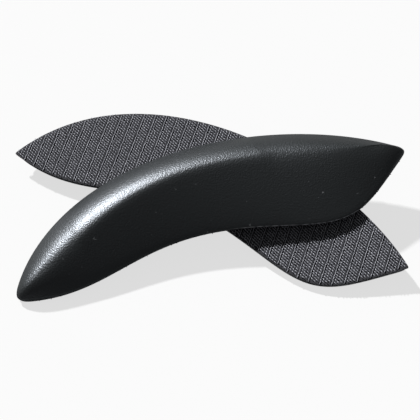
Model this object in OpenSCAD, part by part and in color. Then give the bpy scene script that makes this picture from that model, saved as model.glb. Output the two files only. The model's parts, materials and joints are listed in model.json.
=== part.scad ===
// Pair of moulded armrest pads with hook-tape backs, as they lie together out of the bag:
// one pad face down on its crown, the other face up, leaning across it.
// Each pad is drawn in its own frame: the hook tips lie on z = 0, x runs from the nose
// to the thin end, y runs from the hollow front edge to the bowed back edge.

/* [Pad] */
// Length of a pad from nose to thin end
pad_len = 285; // [265:5:305]
// Height of the parting line above the moulded back
rim_h = 1.5; // [1:0.5:3]
// How far the moulded back is set in from the parting line
rim_inset = 1; // [0.5:0.5:2]
// Thickness of the dense moulded skin
skin_t = 2.5; // [2:0.5:2.5]
// Thickness of the stiffening board in the foam
board_t = 2; // [1.5:0.5:2]
// Distance from the pad's edge to the board's edge
board_inset = 18; // [17:1:22]
// How far the board stops short of the nose and of the thin end
board_end = 45; // [40:5:60]

/* [Hook tape] */
// Thickness of the woven ground
weave_t = 0.8; // [0.6:0.1:1]
// Height of the hooks above the ground
hook_h = 1.2; // [1:0.1:1.6]
// Spacing of the hook ribs along the pad
rib_pitch = 7.7; // [6:0.1:10]
// Width of the bare channel between two ribs
channel_w = 1.9; // [1:0.1:2.5]
// Thickness of the adhesive film behind the tape
film_t = 0.2; // [0.1:0.1:0.4]

/* [How the pads lie] */
// Turn of the face-down pad about the vertical
lower_yaw = -19.5; // [-21:0.1:-18]
// Tilt of the face-down pad, back edge up
lower_tilt = 14; // [12:0.5:14]
// Turn of the leaning pad about the vertical
upper_yaw = 21.4; // [20:0.1:23]
// Rise of the leaning pad towards its thin end
upper_lean = 6.1; // [6.1:0.1:8]

/* [Hidden] */

k = pad_len / 285;
// Plan edges and crest as Bezier control points; heights are above the hook tips
front_edge = k * [[0, 0], [78.5, -28.5], [91, 18], [159, 23.5], [225, -57], [216.5, -44], [285, 0]];
back_edge = k * [[0, 0], [54, 89], [187, 75.5], [258, 25.5], [285, 0]];
crest_line = k * [[22, 4, 12], [83.5, 32.5, 29.5], [145, 64.5, 15], [206.5, 13, 27], [268, 9, 10.5]];

tape_t = weave_t + hook_h;
back_z = tape_t + film_t;
rim_z = back_z + rim_h;

stations = 44;
rings = 9;
// Radius over which the front slope turns into the crest
ridge_r = 1.9;
// The foam stops this many skin thicknesses inside the rim, where the crown is thick enough
foam_pull = 3.2;

// The leaning pad's back edge also rises, so that it bears on the other pad's rim
upper_tilt = 8.5;
lower_at = k * [-135.7, 45];
upper_at = k * [-128.1, -70.5];

function choose(n, i) = i == 0 ? 1 : choose(n, i - 1) * (n - i + 1) / i;
function bezier(c, t, n) = [
    for (axis = [0 : len(c[0]) - 1])
        sum_terms([for (i = [0 : n]) choose(n, i) * pow(t, i) * pow(1 - t, n - i) * c[i][axis]])
];
function sum_terms(v) = v * [for (x = v) 1];
function station(j) = (1 - cos(180 * j / stations)) / 2;
function flat(p) = [p.x, p.y];
function edge_at(c, j) = bezier(c, station(j), len(c) - 1);
function crest_at(j) = bezier(crest_line, station(j), 4);

// Rise along a rib, 0 at the parting line and 1 at the crest. The front is a slope that
// turns over in a narrow ridge; the back is a bulge.
function over_ridge(s) = sqrt(s * s + ridge_r * ridge_r) - ridge_r;
function front_rise(t, rib) = pow(1 - over_ridge(rib * (1 - t)) / over_ridge(rib), 0.9);
function back_rise(t) = 1 - pow(1 - t, 1.85);

function toward(e, c, distance) =
    let (rib = norm(flat(c) - e))
    e + (flat(c) - e) * min(distance / rib, 0.9);

// A point on the rib from edge point e to crest point c, for a surface g inside the skin
function rib_point(e, c, t, g, is_front) =
    let (
        start = toward(e, c, foam_pull * g),
        reach = flat(c) - start,
        foot = max(rim_z, back_z + g + 0.5),
        top = max(c.z - g, foot + 0.5),
        p = start + reach * t
    )
    [p.x, p.y, foot + (top - foot) * (is_front ? front_rise(t, norm(reach)) : back_rise(t))];

// Columns of points across the pad: front edge, over the crest, back edge, closed below
function column(j, g) =
    let (f = edge_at(front_edge, j), b = edge_at(back_edge, j), c = crest_at(j), floor_z = back_z + g)
    concat(
        [foot_point(f, c, rim_inset + foam_pull * g, floor_z)],
        [for (i = [0 : rings]) rib_point(f, c, i / rings, g, true)],
        [for (i = [rings - 1 : -1 : 0]) rib_point(b, c, i / rings, g, false)],
        [foot_point(b, c, rim_inset + foam_pull * g, floor_z)]
    );
function foot_point(e, c, inset, z) =
    let (p = toward(e, c, inset))
    [p.x, p.y, z];

// The two end columns fold on themselves, so their two halves share one set of points
across = 2 * rings + 3;
half = rings + 1;
function fold(j, i) = (j == 0 || j == stations) && i > half ? 2 * half - i : i;
function index(j, i) = j * across + fold(j, i % across);
function quad_faces(a, b, c, d) =
    concat(tri_face(a, b, c), tri_face(a, c, d));
function tri_face(a, b, c) = a == b || b == c || c == a ? [] : [[a, b, c]];

module crown(g) {
    points = [for (j = [0 : stations]) each column(j, g)];
    faces = [
        for (j = [0 : stations - 1])
            for (i = [0 : across - 1])
                each quad_faces(index(j, i), index(j, i + 1), index(j + 1, i + 1), index(j + 1, i))
    ];
    polyhedron(points, faces, convexity = 6);
}

// Plan of the pad, pulled in along its ribs
function plan(inset) = concat(
    [for (j = [0 : stations]) toward(edge_at(front_edge, j), crest_at(j), inset)],
    [for (j = [stations - 1 : -1 : 1]) toward(edge_at(back_edge, j), crest_at(j), inset)]
);

module skin() {
    difference() {
        crown(0);
        crown(skin_t);
    }
}

module board() {
    translate([0, 0, back_z + skin_t])
        linear_extrude(board_t)
            intersection() {
                polygon(plan(board_inset));
                translate([board_end, -pad_len])
                    square([pad_len - 2 * board_end, 2 * pad_len]);
            }
}

module foam_core() {
    difference() {
        crown(skin_t);
        board();
    }
}

module tape_adhesive() {
    translate([0, 0, tape_t])
        linear_extrude(film_t)
            polygon(plan(rim_inset));
}

module hook_tape() {
    translate([0, 0, hook_h])
        linear_extrude(weave_t)
            polygon(plan(0));
    linear_extrude(hook_h)
        intersection() {
            polygon(plan(0));
            for (x = [rib_pitch / 2 : rib_pitch : pad_len])
                translate([x, -pad_len / 2])
                    square([rib_pitch - channel_w, pad_len]);
        }
}

// Height of a pad's point after the pad is tilted and leant, before it is set on the floor
function world_z(p, tilt, roll) = -sin(roll) * p.x + cos(roll) * (sin(tilt) * p.y + cos(tilt) * p.z);
lower_lift = -min([
    for (j = [0 : stations])
        for (p = column(j, 0))
            world_z([p.x, p.y, -p.z], lower_tilt, 0)
]);
upper_lift = -min([for (p = plan(0)) world_z([p.x, p.y, 0], upper_tilt, -upper_lean)]);

module lay_lower() {
    translate([lower_at.x, lower_at.y, lower_lift])
        rotate([lower_tilt, 0, lower_yaw])
            mirror([0, 0, 1])
                children();
}

module lay_upper() {
    translate([upper_at.x, upper_at.y, upper_lift])
        rotate([upper_tilt, -upper_lean, upper_yaw])
            children();
}

module upper_skin() { color("#2b2f31") lay_upper() skin(); }
module upper_foam_core() { color("#d9cfa8") lay_upper() foam_core(); }
module upper_board() { color("#b98a52") lay_upper() board(); }
module upper_tape_adhesive() { color("#e8e2c4") lay_upper() tape_adhesive(); }
module upper_hook_tape() { color("#5a5866") lay_upper() hook_tape(); }
module lower_skin() { color("#33383b") lay_lower() skin(); }
module lower_foam_core() { color("#d9cfa8") lay_lower() foam_core(); }
module lower_board() { color("#b98a52") lay_lower() board(); }
module lower_tape_adhesive() { color("#e8e2c4") lay_lower() tape_adhesive(); }
module lower_hook_tape() { color("#6b6878") lay_lower() hook_tape(); }

upper_skin();
upper_foam_core();
upper_board();
upper_tape_adhesive();
upper_hook_tape();
lower_skin();
lower_foam_core();
lower_board();
lower_tape_adhesive();
lower_hook_tape();
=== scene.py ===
"""A pair of moulded armrest pads with hook-tape backs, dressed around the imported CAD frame.

Each pad is built in its own axes, in millimetres from the nose along x, towards the bowed back
edge along y and up from the hook tips along z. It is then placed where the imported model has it:
the lower pad face down, showing its hooks, and the upper pad crown up, leaning across it.
"""

import json
import math

import bmesh
import bpy
import numpy as np
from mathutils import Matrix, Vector


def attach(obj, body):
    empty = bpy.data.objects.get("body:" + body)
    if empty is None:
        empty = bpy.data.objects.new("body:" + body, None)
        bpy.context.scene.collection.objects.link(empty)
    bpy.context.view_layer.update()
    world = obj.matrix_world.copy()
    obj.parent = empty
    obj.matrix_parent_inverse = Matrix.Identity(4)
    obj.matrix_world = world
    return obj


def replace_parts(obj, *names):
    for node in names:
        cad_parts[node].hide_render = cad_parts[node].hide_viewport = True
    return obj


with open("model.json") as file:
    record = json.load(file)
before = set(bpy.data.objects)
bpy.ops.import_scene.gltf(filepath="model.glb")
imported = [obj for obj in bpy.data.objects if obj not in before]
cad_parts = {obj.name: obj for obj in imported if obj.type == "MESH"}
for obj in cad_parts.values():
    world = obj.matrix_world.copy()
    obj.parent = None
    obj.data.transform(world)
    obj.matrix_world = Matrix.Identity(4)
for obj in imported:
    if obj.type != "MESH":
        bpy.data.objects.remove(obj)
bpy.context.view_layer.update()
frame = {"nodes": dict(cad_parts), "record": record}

MM = 0.001

# ---------------------------------------------------------------- sizes, in millimetres
# Plan edges and crest as Bezier control points, for a pad of the nominal length
NOMINAL_LENGTH = 285.0
FRONT_EDGE = [(0, 0), (78.5, -28.5), (91, 18), (159, 23.5), (225, -57), (216.5, -44), (285, 0)]
BACK_EDGE = [(0, 0), (54, 89), (187, 75.5), (258, 25.5), (285, 0)]
CREST = [(22, 7, 12), (83.5, 32.5, 29.5), (145, 64.5, 15), (206.5, 8, 27), (268, 9, 10.5)]

# Rounding of the plan's two tips, which fades out at so many times its own size from the tip;
# the lower pad's tape keeps the sharper tips of a cut sheet
NOSE_BLUR = 7.0
THIN_END_BLUR = 4.0
CUT_BLUR = 1.0
ROUNDING_REACH = 3.5

# Layers of the back, from the hook tips up to the moulded face
HOOK_HEIGHT = 1.2
WEAVE = 0.8
FILM = 0.2
BACK_Z = HOOK_HEIGHT + WEAVE + FILM

# Inset and height of each row of the low wall below the crown; the bead is the parting line
RIM_Z = 3.7
RIM_INSET = 1.0
WALL = [(RIM_INSET, BACK_Z), (0.7, 2.5), (-0.35, 2.8), (-0.45, 3.4), (0.1, RIM_Z)]
BEAD_ROWS = (2, 3)

# Ridge width, and how much wider it is at the two ends
RIDGE = 1.9
END_RIDGE = 4.0

# Reach of the blunt profile round each tip
TIP_REACH = 22.0

# The crown is smoothed above the rim, up to the first place along it and from the second one on
SOFT_ABOVE_RIM = 1.5
SOFT_UNTIL = 55
SOFT_FROM = 190
SOFT_PASSES = 40
SOFT_FACTOR = 0.5
MERGE_DISTANCE = 0.02
SLIVER = 0.0001

# Skin thickness over the foam, the foam's margin inside the plan and the height of its edge
SKIN = 2.5
FOAM_MARGIN = 8.0
FOAM_EDGE = 0.5

# Hook tape: ribs of several rows, one row of which is a channel of low stitches
RIB_PITCH = 7.7
ROWS_PER_RIB = 4
HOOK_PITCH = 1.85
HOOK_MARGIN = 0.8
HOOK_SPAN = 1.15
WIRE = 0.6

# ---------------------------------------------------------------- shares of a length or height
# Where the bead's pale flash and painted highlight begin along the pad
BEAD_FROM = 0.52
BEAD_FADE = 0.05
THIN_END_FROM = 0.68
THIN_END_FADE = 0.15
NOSE_FADE = 0.13
FOAM_FROM = 0.05
FOAM_TO = 0.94
FOAM_MARGIN_LIMIT = 0.7
STITCH_DROP = 0.5

# Powers that shape the crown's front slope, its back bulge, the tips' profile and a hook's arch
SLOPE_POWER = 0.9
BULGE_POWER = 1.85
BLUNT_POWERS = (2.2, 0.62)
ARCH_POWER = 0.6

# Directions of the hooks and of the stitches in the plan, in degrees, and the hooks' unevenness
HOOK_TURN = -42
STITCH_TURN = 88
HOOK_SCATTER = 0.10
HOOK_WEAR = 0.06

STATIONS = 200
RIB_STEPS = 26
RIB_SPACING_POWER = 1.5
RING_POINTS = 4096
FOAM_STATIONS = 50
FOAM_STEPS = 8
SHEET_STATIONS = 160
EDGE_SAMPLES = 600
WIRE_STEPS = 6
WIRE_SIDES = 4

# ---------------------------------------------------------------- light and camera
# Angles in degrees, places in metres, the lens and its sensor in millimetres
SUN_AZIMUTH = 128
SUN_ELEVATION = 38
SUN_STRENGTH = 5.2
SUN_SIZE = 3.0
VIEW_ELEVATION = 55
LOOK_AT = Vector((0.0012, 0.0054, 0))
DISTANCE = 0.968
LENS = 120
SENSOR = 36

# The sky's strength as seen and as fill light; the floor's colour as seen and as it lights the
# pads; and the plain glow that makes up a share of the floor's look and so lifts its shadows
SKY_SEEN = 0.95
SKY_FILL = 0.09
FLOOR_HALF = 6
FLOOR_COLOUR = (0.85, 0.85, 0.85)
FLOOR_BOUNCE = (0.2, 0.2, 0.2)
FLOOR_GLOW = 0.97
FLOOR_GLOW_SHARE = 0.72


# ---------------------------------------------------------------- small helpers
def bezier(points, t):
    """Points of a Bezier curve at the parameters t."""
    points = np.asarray(points, float)
    degree = len(points) - 1
    t = np.asarray(t, float)[:, None]
    total = 0.0
    for i, p in enumerate(points):
        total = total + math.comb(degree, i) * t**i * (1 - t) ** (degree - i) * p
    return total


def eased(count):
    """Parameters from 0 to 1 that bunch up towards both ends."""
    return (1 - np.cos(np.linspace(0, math.pi, count))) / 2


def tube_faces(stations, across):
    """Quads over a grid of closed rings, one ring of vertices for each station."""
    faces = []
    for j in range(stations - 1):
        for i in range(across):
            n = (i + 1) % across
            faces.append([j * across + i, j * across + n, (j + 1) * across + n, (j + 1) * across + i])
    return faces


def new_object(name, verts, faces, material, body, smooth=True):
    """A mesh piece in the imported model's frame, in metres, riding on a CAD body."""
    mesh = bpy.data.meshes.new(name)
    mesh.from_pydata([tuple(v) for v in verts], [], faces)
    mesh.validate()
    mesh.update()
    if smooth:
        mesh.shade_smooth()
    obj = bpy.data.objects.new(name, mesh)
    bpy.context.scene.collection.objects.link(obj)
    mesh.materials.append(material)
    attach(obj, body)
    return obj


# ---------------------------------------------------------------- where each pad lies
class PadFrame:
    """A pad's own axes, read from its packed hook tape and its back mount."""

    def __init__(self, side):
        self.side = side
        self.body = side + "_pad"
        mount = next(m for m in frame["record"]["mounts"] if m["name"] == side + "_back")
        inward = -Vector(mount["axis"]).normalized()
        on_back = Vector(mount["pos_m"])
        verts = [v.co.copy() for v in frame["nodes"][side + "_hook_tape"].data.vertices]
        flat = np.array([v - inward * (v - on_back).dot(inward) for v in verts])
        nose = flat[flat[:, 0].argmin()]
        thin = flat[np.linalg.norm(flat - nose, axis=1).argmax()]
        nose = flat[np.linalg.norm(flat - thin, axis=1).argmax()]
        along = thin - nose
        self.length = np.linalg.norm(along) / MM
        self.k = self.length / NOMINAL_LENGTH
        self.origin = nose
        self.x = along / np.linalg.norm(along)
        self.z = np.array(inward)
        self.y = np.cross(self.z, self.x)
        if (flat.mean(0) - nose) @ self.y < 0:
            self.y = -self.y
        self.mirrored = np.cross(self.x, self.y) @ self.z < 0

    def place(self, points):
        """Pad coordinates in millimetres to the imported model's frame in metres."""
        p = np.asarray(points, float).reshape(-1, 3) * MM
        return self.origin + p[:, :1] * self.x + p[:, 1:2] * self.y + p[:, 2:3] * self.z

    def wind(self, faces):
        """Turns faces over on the pad that is a mirror image."""
        return [f[::-1] for f in faces] if self.mirrored else faces


# ---------------------------------------------------------------- the pad's edge
def sharp_edges(k, t):
    """The front and back edges of the plan, before their tips are rounded."""
    return bezier(FRONT_EDGE, t) * k, bezier(BACK_EDGE, t) * k


def blur(values, sigma, length):
    """Smooths values spaced evenly round a closed loop of the given length."""
    wave = np.fft.rfftfreq(len(values), length / len(values))
    soften = np.exp(-2 * (math.pi * sigma * wave) ** 2)
    return np.fft.irfft(np.fft.rfft(values, axis=0) * soften[:, None], len(values), axis=0)


def round_tips(front, back, nose_sigma, thin_sigma):
    """Rounds the two corners of the closed ring that runs out along front and home along back."""
    ring = np.vstack([front, back[::-1]])
    axes = range(ring.shape[1])
    run = np.concatenate([[0], np.cumsum(np.linalg.norm(np.diff(ring, axis=0), axis=1))])
    whole, thin_at = run[-1], run[len(front) - 1]
    even = np.linspace(0, whole, RING_POINTS, endpoint=False)
    points = np.stack([np.interp(even, run, ring[:, axis]) for axis in axes], axis=1)
    for centre, sigma in ((0.0, nose_sigma), (thin_at, thin_sigma)):
        away = np.abs((even - centre + whole / 2) % whole - whole / 2)
        weight = np.exp(-((away / (ROUNDING_REACH * sigma)) ** 4))[:, None]
        points = points + weight * (blur(points, sigma, whole) - points)
    rounded = np.stack([np.interp(run, even, points[:, axis], period=whole) for axis in axes], axis=1)
    return rounded[: len(front)], rounded[len(front) :][::-1]


# ---------------------------------------------------------------- moulded skin
def rise(t, rib, along, near_tip, is_front):
    """Height along a rib from rim (0) to crest (1): the front is a slope that turns over in a
    narrow ridge, the back is a bulge, and round the two tips both become one blunt profile."""
    at_thin_end = np.clip((along - THIN_END_FROM) / THIN_END_FADE, 0, 1)
    at_nose = np.exp(-((along / NOSE_FADE) ** 2))
    ridge = RIDGE + END_RIDGE * at_thin_end + END_RIDGE * at_nose
    slope = 1 - (np.hypot(rib * (1 - t), ridge) - ridge) / (np.hypot(rib, ridge) - ridge)
    slope = np.clip(slope, 0, 1) ** SLOPE_POWER
    bulge = 1 - (1 - t) ** BULGE_POWER
    blunt = (1 - (1 - t) ** BLUNT_POWERS[0]) ** BLUNT_POWERS[1]
    side = slope if is_front else bulge
    return side + near_tip * (blunt - side)


def side_rows(edge, crest, along, near_tip, is_front):
    """Rows of points from the moulded back, round the rim and up one side to the crest."""
    reach = crest[:, :2] - edge
    rib = np.linalg.norm(reach, axis=1)
    inward = reach / np.maximum(rib, 1e-6)[:, None]
    rows = []
    for inset, z in WALL:
        p = edge + inward * np.minimum(inset, 0.5 * rib)[:, None]
        rows.append(np.c_[p, np.full(len(p), z)])
    for i in range(1, RIB_STEPS + 1):
        t = (i / RIB_STEPS) ** RIB_SPACING_POWER
        height = (crest[:, 2] - RIM_Z) * rise(t, rib, along, near_tip, is_front)
        rows.append(np.c_[edge + reach * t, RIM_Z + height])
    return rows


def close_tips(obj, pad):
    """Merges the vertices that meet at the tips and softens the crown where its crest runs out."""
    work = bmesh.new()
    work.from_mesh(obj.data)
    bmesh.ops.remove_doubles(work, verts=work.verts, dist=MERGE_DISTANCE * MM)
    origin, along, up = Vector(pad.origin), Vector(pad.x), Vector(pad.z)
    soft = []
    for vert in work.verts:
        x = (vert.co - origin).dot(along) / MM / pad.k
        z = (vert.co - origin).dot(up) / MM
        if z > RIM_Z + SOFT_ABOVE_RIM and (x < SOFT_UNTIL or x > SOFT_FROM):
            soft.append(vert)
    every_axis = {"use_axis_x": True, "use_axis_y": True, "use_axis_z": True}
    for _ in range(SOFT_PASSES):
        bmesh.ops.smooth_vert(work, verts=soft, factor=SOFT_FACTOR, **every_axis)
    bmesh.ops.dissolve_degenerate(work, edges=work.edges, dist=SLIVER * MM)
    bmesh.ops.recalc_face_normals(work, faces=work.faces)
    work.to_mesh(obj.data)
    work.free()


def mark_bead_flash_and_highlight(obj, along, across):
    """Marks the parting line's bead from mid-length to the thin end, where its pale colour is partly
    the flash's own and partly a painted highlight where light catches it.
    """
    bead = np.zeros((len(along), across), np.float32)
    for row in BEAD_ROWS:
        bead[:, row] = np.clip((along - BEAD_FROM) / BEAD_FADE, 0, 1)
    mask = obj.data.attributes.new("bead", "FLOAT", "POINT")
    mask.data.foreach_set("value", bead.ravel())


def skin_object(pad, material):
    """The moulded skin: back face, wall and crown, as rings across the pad from nose to thin end."""
    t = eased(STATIONS + 1)
    front, back = sharp_edges(pad.k, t)
    crest = bezier(CREST, t) * pad.k
    from_nose = np.linalg.norm(front - front[0], axis=1)
    from_thin_end = np.linalg.norm(front - front[-1], axis=1)
    near_tip = np.exp(-((np.minimum(from_nose, from_thin_end) / TIP_REACH) ** 2))
    front_side = side_rows(front, crest, t, near_tip, True)
    back_side = side_rows(back, crest, t, near_tip, False)
    rings = [round_tips(*ring, NOSE_BLUR, THIN_END_BLUR) for ring in zip(front_side, back_side)]
    rows_front, rows_back = zip(*rings)
    grid = np.stack(rows_front + rows_back[-2::-1], axis=1)
    across = grid.shape[1]
    verts = pad.place(grid.reshape(-1, 3))
    faces = pad.wind(tube_faces(STATIONS + 1, across))
    obj = new_object(pad.side + "_pad_skin", verts, faces, material, pad.body)
    mark_bead_flash_and_highlight(obj, front[:, 0] / pad.length, across)
    close_tips(obj, pad)
    return obj


# ---------------------------------------------------------------- foam inside the skin
def foam_object(pad, material):
    """The foam inside the skin, stopping short of the two tips."""
    t = np.linspace(FOAM_FROM, FOAM_TO, FOAM_STATIONS)
    crest = bezier(CREST, t) * pad.k
    plan, top = crest[:, :2], crest[:, 2]
    foot_z = BACK_Z + SKIN
    edge_z = foot_z + FOAM_EDGE
    peak = np.maximum(top - SKIN, edge_z + FOAM_EDGE)
    sides = []
    for edge, is_front in zip(sharp_edges(pad.k, t), (True, False)):
        rib = np.linalg.norm(plan - edge, axis=1)
        foot = edge + (plan - edge) * np.minimum(FOAM_MARGIN / rib, FOAM_MARGIN_LIMIT)[:, None]
        rows = [np.c_[foot, np.full(len(foot), foot_z)]]
        for i in range(FOAM_STEPS + 1):
            step = i / FOAM_STEPS
            height = (peak - edge_z) * rise(step, rib, t, 0.0, is_front)
            rows.append(np.c_[foot + (plan - foot) * step, edge_z + height])
        sides.append(rows)
    grid = np.stack(sides[0] + sides[1][-2::-1], axis=1)
    across = grid.shape[1]
    last = (FOAM_STATIONS - 1) * across
    faces = [list(range(across))[::-1], list(range(last, last + across))]
    faces += tube_faces(FOAM_STATIONS, across)
    verts = pad.place(grid.reshape(-1, 3))
    return new_object(pad.side + "_foam_fill", verts, pad.wind(faces), material, pad.body)


# ---------------------------------------------------------------- film and woven ground
def plan_loop(k, inset, tip_blur):
    """The pad's outline, set in towards the crest, with both tips rounded."""
    t = eased(SHEET_STATIONS)
    crest = bezier(CREST, t)[:, :2] * k
    sides = []
    for edge in sharp_edges(k, t):
        reach = crest - edge
        sides.append(edge + reach * inset / np.linalg.norm(reach, axis=1)[:, None])
    front, back = round_tips(*sides, tip_blur, tip_blur)
    return np.vstack([front, back[-2:0:-1]])


def sheet_object(pad, name, material, inset, tip_blur, low, high):
    """A thin sheet cut to the pad's plan, from height low to height high."""
    outline = plan_loop(pad.k, inset, tip_blur)
    n = len(outline)
    verts = np.vstack([np.c_[outline, np.full(n, low)], np.c_[outline, np.full(n, high)]])
    faces = [list(range(n))[::-1], list(range(n, 2 * n))]
    faces += [[i, (i + 1) % n, n + (i + 1) % n, n + i] for i in range(n)]
    return new_object(name, pad.place(verts), pad.wind(faces), material, pad.body, smooth=False)


# ---------------------------------------------------------------- hooks
def edge_heights(pad, x, tip_blur):
    """Where the rounded front and back edges lie across the pad at each place x along it."""
    t = np.linspace(0, 1, EDGE_SAMPLES)
    front, back = round_tips(*sharp_edges(pad.k, t), tip_blur, tip_blur)
    return np.interp(x, front[:, 0], front[:, 1]), np.interp(x, back[:, 0], back[:, 1])


def hook_centres(pad, tip_blur):
    """Plan position of every hook, and whether it is a low stitch in a channel between ribs."""
    row_gap = RIB_PITCH / ROWS_PER_RIB
    rows = np.arange(int(pad.length / row_gap))
    xs = (rows + 0.5) * row_gap
    lows, highs = edge_heights(pad, xs, tip_blur)
    centres = []
    for row, x, low, high in zip(rows, xs, lows + HOOK_MARGIN, highs - HOOK_MARGIN):
        shift = 0.5 * HOOK_PITCH * (row % 2)
        first = math.ceil((low - shift) / HOOK_PITCH) * HOOK_PITCH + shift
        for y in np.arange(first, high, HOOK_PITCH):
            centres.append((x, y, row % ROWS_PER_RIB == 0))
    return np.array(centres)


def hook_tube():
    """One hook as a bent tube: each vertex's place along the span, its share of the hook's height
    and its offset from the wire's middle line."""
    along, raised, offsets = [], [], []
    for angle in np.linspace(0, math.pi, WIRE_STEPS):
        tangent = np.array([math.sin(angle) * HOOK_SPAN, 0, math.cos(angle)])
        tangent /= np.linalg.norm(tangent)
        normal = np.array([-tangent[2], 0, tangent[0]])
        for side in range(WIRE_SIDES):
            a = 2 * math.pi * (side + 0.5) / WIRE_SIDES
            along.append(-math.cos(angle) * HOOK_SPAN)
            raised.append(math.sin(angle) ** ARCH_POWER)
            offsets.append((normal * math.cos(a) + np.array([0, 1, 0]) * math.sin(a)) * WIRE / 2)
    return np.array(along), np.array(raised), np.array(offsets)


def hook_faces(count):
    """Quads round every hook's tube, whose two open ends stand on the woven ground."""
    faces = []
    for number in range(count):
        for step in range(WIRE_STEPS - 1):
            a = (number * WIRE_STEPS + step) * WIRE_SIDES
            for side in range(WIRE_SIDES):
                nxt = (side + 1) % WIRE_SIDES
                faces.append([a + WIRE_SIDES + side, a + WIRE_SIDES + nxt, a + nxt, a + side])
    return faces


def hooks_object(pad, material, tip_blur, seed):
    """Bent monofilament hooks: one small slanted arch at each centre."""
    rng = np.random.default_rng(seed)
    centres = hook_centres(pad, tip_blur)
    count = len(centres)
    stitch = centres[:, 2]
    turn = np.radians(HOOK_TURN + (STITCH_TURN - HOOK_TURN) * stitch)
    turn += rng.normal(0, HOOK_SCATTER, count)
    lean = rng.normal(0, HOOK_SCATTER, count)
    worn = np.abs(rng.normal(0, HOOK_WEAR, count))
    tall = (HOOK_HEIGHT - WIRE / 2) * (1 - STITCH_DROP * stitch) * (1 - worn)
    along, raised, offsets = hook_tube()
    hook_x = np.tile(along + offsets[:, 0], (count, 1))
    hook_y = lean[:, None] * raised + offsets[:, 1]
    hook_z = tall[:, None] * raised + offsets[:, 2]
    c, s = np.cos(turn)[:, None], np.sin(turn)[:, None]
    x = centres[:, :1] + c * hook_x - s * hook_y
    y = centres[:, 1:2] + s * hook_x + c * hook_y
    verts = pad.place(np.stack([x, y, HOOK_HEIGHT - hook_z], axis=2))
    faces = pad.wind(hook_faces(count))
    return new_object(pad.side + "_tape_hooks", verts, faces, material, pad.body)


# ---------------------------------------------------------------- shader helpers
def node_material(name):
    """An empty node material with one Principled shader."""
    material = bpy.data.materials.new(name)
    material.use_nodes = True
    tree = material.node_tree
    tree.nodes.clear()
    out = tree.nodes.new("ShaderNodeOutputMaterial")
    shader = tree.nodes.new("ShaderNodeBsdfPrincipled")
    tree.links.new(shader.outputs[0], out.inputs[0])
    return material, tree, shader


def texture(tree, kind, scale, **settings):
    """A 3D texture node on object coordinates; scale is in features per metre."""
    coords = tree.nodes.new("ShaderNodeTexCoord")
    node = tree.nodes.new(kind)
    node.inputs["Scale"].default_value = scale
    for name, value in settings.items():
        if name in node.inputs:
            node.inputs[name].default_value = value
        else:
            setattr(node, name, value)
    tree.links.new(coords.outputs["Object"], node.inputs["Vector"])
    return node


def math_node(tree, operation, a, b):
    """One arithmetic step on two values; each is a number or a socket."""
    node = tree.nodes.new("ShaderNodeMath")
    node.operation = operation
    for slot, value in enumerate((a, b)):
        if isinstance(value, (int, float)):
            node.inputs[slot].default_value = value
        else:
            tree.links.new(value, node.inputs[slot])
    return node.outputs[0]


def ramp(tree, value, low, high):
    """Maps value from low..high onto 0..1, clamped."""
    node = tree.nodes.new("ShaderNodeMapRange")
    node.inputs["From Min"].default_value = low
    node.inputs["From Max"].default_value = high
    tree.links.new(value, node.inputs["Value"])
    return node.outputs[0]


def blend(tree, factor, a, b):
    """Mixes two colours by a socket, through the Mix node's own colour sockets."""
    node = tree.nodes.new("ShaderNodeMix")
    node.data_type = "RGBA"
    tree.links.new(factor, node.inputs[0])
    for slot, colour in ((6, a), (7, b)):
        node.inputs[slot].default_value = (*colour, 1)
    return node.outputs[2]


def bump(tree, shader, height, strength, distance):
    """Roughens the shader's surface by a height socket; distance is in metres."""
    node = tree.nodes.new("ShaderNodeBump")
    node.inputs["Strength"].default_value = strength
    node.inputs["Distance"].default_value = distance
    tree.links.new(height, node.inputs["Height"])
    tree.links.new(node.outputs[0], shader.inputs["Normal"])


def set_surface(tree, shader, colour, roughness):
    """Gives the shader a colour socket and a roughness."""
    tree.links.new(colour, shader.inputs["Base Color"])
    shader.inputs["Roughness"].default_value = roughness


# ---------------------------------------------------------------- materials
def skin_material():
    """Near-black moulded skin: fine grain, a few pale scuffs, and a parting line painted pale, partly
    its own flash and partly a painted highlight.
    """
    near_black, pale_marks_and_highlight = (0.008, 0.0095, 0.009), (0.42, 0.43, 0.45)
    material, tree, shader = node_material("grained_black_skin")
    grain = texture(tree, "ShaderNodeTexVoronoi", 1100.0, feature="SMOOTH_F1")
    pores = texture(tree, "ShaderNodeTexNoise", 1100.0, Detail=3.0)
    height = math_node(tree, "ADD", grain.outputs["Distance"], pores.outputs["Fac"])
    bump(tree, shader, height, strength=0.6, distance=0.00025)
    patches = texture(tree, "ShaderNodeTexNoise", 420.0, Detail=1.0)
    bead = tree.nodes.new("ShaderNodeAttribute")
    bead.attribute_name = "bead"
    patchy = ramp(tree, patches.outputs["Fac"], low=0.36, high=0.6)
    # The pale bead is partly the parting line's own flash and partly a painted highlight where light
    # catches it
    bead_flash_and_highlight = math_node(tree, "MULTIPLY", patchy, bead.outputs["Fac"])
    specks = texture(tree, "ShaderNodeTexNoise", 260.0, Detail=6.0)
    scuffs = ramp(tree, specks.outputs["Fac"], low=0.7, high=0.76)
    pale = math_node(tree, "MAXIMUM", bead_flash_and_highlight, math_node(tree, "MULTIPLY", scuffs, 0.5))
    set_surface(tree, shader, blend(tree, pale, near_black, pale_marks_and_highlight), roughness=0.4)
    shader.inputs["IOR"].default_value = 1.6
    shader.inputs["Specular IOR Level"].default_value = 0.85
    # The bluish specular tint is a painted reflection of a cool sky in the skin's highlights
    shader.inputs["Specular Tint"].default_value = (0.86, 0.92, 1.0, 1)
    return material


def foam_material():
    """Yellowed open-cell foam."""
    material, tree, shader = node_material("open_cell_foam")
    cells = texture(tree, "ShaderNodeTexVoronoi", 1200.0).outputs["Distance"]
    colour = blend(tree, cells, (0.45, 0.38, 0.22), (0.78, 0.7, 0.47))
    set_surface(tree, shader, colour, roughness=0.95)
    bump(tree, shader, cells, strength=0.6, distance=0.0004)
    return material


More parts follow.
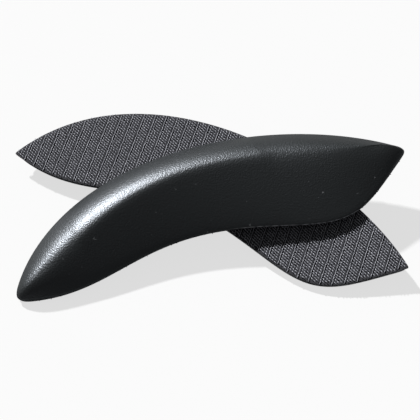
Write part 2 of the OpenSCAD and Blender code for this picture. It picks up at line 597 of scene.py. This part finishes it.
def board_material():
    """Plywood with a wavy grain."""
    material, tree, shader = node_material("plywood_board")
    grain = texture(tree, "ShaderNodeTexWave", 120.0, Distortion=6.0, Detail=3.0).outputs["Fac"]
    colour = blend(tree, grain, (0.36, 0.22, 0.1), (0.58, 0.41, 0.22))
    set_surface(tree, shader, colour, roughness=0.7)
    return material


def film_material():
    """Hazy adhesive film."""
    material, tree, shader = node_material("adhesive_film")
    haze = texture(tree, "ShaderNodeTexNoise", 300.0).outputs["Fac"]
    colour = blend(tree, haze, (0.55, 0.52, 0.38), (0.75, 0.72, 0.56))
    set_surface(tree, shader, colour, roughness=0.3)
    return material


def weave_with_painted_shade_material():
    """The woven ground under the hooks, near black: the tape's own dark tone with painted shade
    between the hooks.
    """
    material, tree, shader = node_material("woven_ground_painted_shade")
    threads = texture(tree, "ShaderNodeTexNoise", 1600.0, Detail=2.0).outputs["Fac"]
    # Near-black ground: the tape's dark tone plus painted shade between the hooks
    colour = blend(tree, threads, (0.012, 0.012, 0.015), (0.05, 0.05, 0.06))
    set_surface(tree, shader, colour, roughness=0.85)
    bump(tree, shader, threads, strength=0.8, distance=0.0003)
    return material


def hook_material():
    """Grey nylon filament whose shade varies from hook to hook."""
    material, tree, shader = node_material("hook_filament")
    lot = texture(tree, "ShaderNodeTexNoise", 700.0, Detail=2.0).outputs["Fac"]
    colour = blend(tree, ramp(tree, lot, low=0.35, high=0.65), (0.19, 0.195, 0.225), (0.5, 0.51, 0.56))
    set_surface(tree, shader, colour, roughness=0.45)
    return material


def floor_material():
    """A pale floor whose shadows are lifted by a glow that only the camera sees, and which throws
    less light on the pads than so pale a floor would."""
    material, tree, shader = node_material("pale_floor")
    surface_in = shader.outputs[0].links[0].to_socket
    seen = tree.nodes.new("ShaderNodeLightPath").outputs["Is Camera Ray"]
    set_surface(tree, shader, blend(tree, seen, FLOOR_BOUNCE, FLOOR_COLOUR), roughness=0.9)
    glow = tree.nodes.new("ShaderNodeEmission")
    glow.inputs["Strength"].default_value = FLOOR_GLOW
    mix = tree.nodes.new("ShaderNodeMixShader")
    tree.links.new(math_node(tree, "MULTIPLY", seen, FLOOR_GLOW_SHARE), mix.inputs[0])
    tree.links.new(shader.outputs[0], mix.inputs[1])
    tree.links.new(glow.outputs[0], mix.inputs[2])
    tree.links.new(mix.outputs[0], surface_in)
    return material


# ---------------------------------------------------------------- the two pads
def build_pad(side, seed, materials):
    """Every piece of one pad; each but the hooks and the board stands for a CAD node."""
    pad = PadFrame(side)
    weave_z = HOOK_HEIGHT + WEAVE
    tip_blur = NOSE_BLUR if side == "upper" else CUT_BLUR
    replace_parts(skin_object(pad, materials["skin"]), side + "_skin")
    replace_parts(foam_object(pad, materials["foam"]), side + "_foam_core")
    weave = sheet_object(
        pad, side + "_tape_weave", materials["weave"], 0, tip_blur, HOOK_HEIGHT, weave_z
    )
    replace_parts(weave, side + "_hook_tape")
    film = sheet_object(
        pad, side + "_film_layer", materials["film"], RIM_INSET, NOSE_BLUR, weave_z, BACK_Z
    )
    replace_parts(film, side + "_tape_adhesive")
    hooks_object(pad, materials["hook"], tip_blur, seed)
    board = frame["nodes"][side + "_board"].data
    board.materials.clear()
    board.materials.append(materials["board"])


pad_materials = {
    "skin": skin_material(),
    "foam": foam_material(),
    "board": board_material(),
    "film": film_material(),
    "weave": weave_with_painted_shade_material(),
    "hook": hook_material(),
}
for seed, side in enumerate(("upper", "lower")):
    build_pad(side, seed, pad_materials)


# ---------------------------------------------------------------- floor, light, camera
def toward(azimuth, elevation):
    """Unit vector at an azimuth anticlockwise from +X and an elevation, both in degrees."""
    a, e = math.radians(azimuth), math.radians(elevation)
    return Vector((math.cos(a) * math.cos(e), math.sin(a) * math.cos(e), math.sin(e)))


def add_floor():
    """The pale floor the pads lie on."""
    corners = [(x * FLOOR_HALF, y * FLOOR_HALF, 0) for x, y in ((-1, -1), (1, -1), (1, 1), (-1, 1))]
    mesh = bpy.data.meshes.new("floor")
    mesh.from_pydata(corners, [], [(0, 1, 2, 3)])
    mesh.materials.append(floor_material())
    floor = bpy.data.objects.new("floor", mesh)
    bpy.context.scene.collection.objects.link(floor)


def add_sky():
    """A white surround that is bright to the camera and only a faint fill light on the pads."""
    world = bpy.data.worlds.new("pale_studio")
    world.use_nodes = True
    tree = world.node_tree
    background = tree.nodes["Background"]
    background.inputs["Color"].default_value = (1, 1, 1, 1)
    seen = tree.nodes.new("ShaderNodeLightPath").outputs["Is Camera Ray"]
    strength = math_node(tree, "MAXIMUM", math_node(tree, "MULTIPLY", seen, SKY_SEEN), SKY_FILL)
    tree.links.new(strength, background.inputs["Strength"])
    bpy.context.scene.world = world


def add_sun():
    """The one key light, high behind the pads and to the left."""
    lamp = bpy.data.lights.new("key_behind", "SUN")
    lamp.energy = SUN_STRENGTH
    lamp.angle = math.radians(SUN_SIZE)
    obj = bpy.data.objects.new("key_behind", lamp)
    obj.rotation_euler = toward(SUN_AZIMUTH, SUN_ELEVATION).to_track_quat("Z", "Y").to_euler()
    bpy.context.scene.collection.objects.link(obj)


def add_camera():
    """A long lens in front of the pads, looking down on them."""
    data = bpy.data.cameras.new("camera")
    data.lens = LENS
    data.sensor_width = SENSOR
    camera = bpy.data.objects.new("camera", data)
    offset = toward(-90, VIEW_ELEVATION) * DISTANCE
    camera.location = LOOK_AT + offset
    camera.rotation_euler = offset.to_track_quat("Z", "Y").to_euler()
    bpy.context.scene.collection.objects.link(camera)
    bpy.context.scene.camera = camera


add_floor()
add_sky()
add_sun()
add_camera()
bpy.context.scene.view_settings.view_transform = "Standard"
